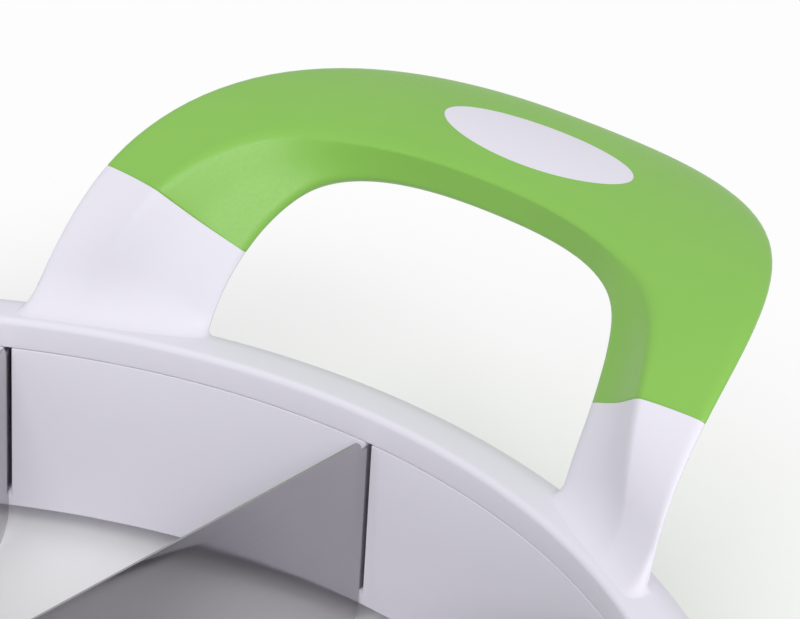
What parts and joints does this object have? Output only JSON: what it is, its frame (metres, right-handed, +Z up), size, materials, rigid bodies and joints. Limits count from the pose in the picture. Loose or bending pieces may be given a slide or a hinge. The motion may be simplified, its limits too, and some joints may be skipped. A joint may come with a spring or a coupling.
{
  "type": "melon slicer",
  "caption": "Large round push-through melon slicer: white plastic ring with arched soft-grip handles, radial steel blades in a slotted carrier and a slotted core ring.",
  "frame": {"origin": "on the ring's axis, in the plane that the ring rests on", "axes": "+Z up along the ring's axis, away from the cutting edges; +X through the handles"},
  "size_m": [0.37, 0.28, 0.0733],
  "materials": {
    "white_plastic": "satin moulded",
    "green_grip": "smooth soft-touch",
    "blade_steel": "polished sheet",
    "steel_tube": "polished tube",
    "screw_steel": "bright plated"
  },
  "bodies": {
    "root": {"top_frame": "white_plastic", "blade_carrier": "white_plastic", "core_ring": "steel_tube", "right_grip": "green_grip", "left_grip": "green_grip", "carrier_screws": "screw_steel", "blade_01": "blade_steel", "blade_02": "blade_steel", "blade_03": "blade_steel", "blade_04": "blade_steel", "blade_05": "blade_steel", "blade_06": "blade_steel", "blade_07": "blade_steel", "blade_08": "blade_steel", "blade_09": "blade_steel", "blade_10": "blade_steel", "blade_11": "blade_steel", "blade_12": "blade_steel"}
  },
  "joints": []
}
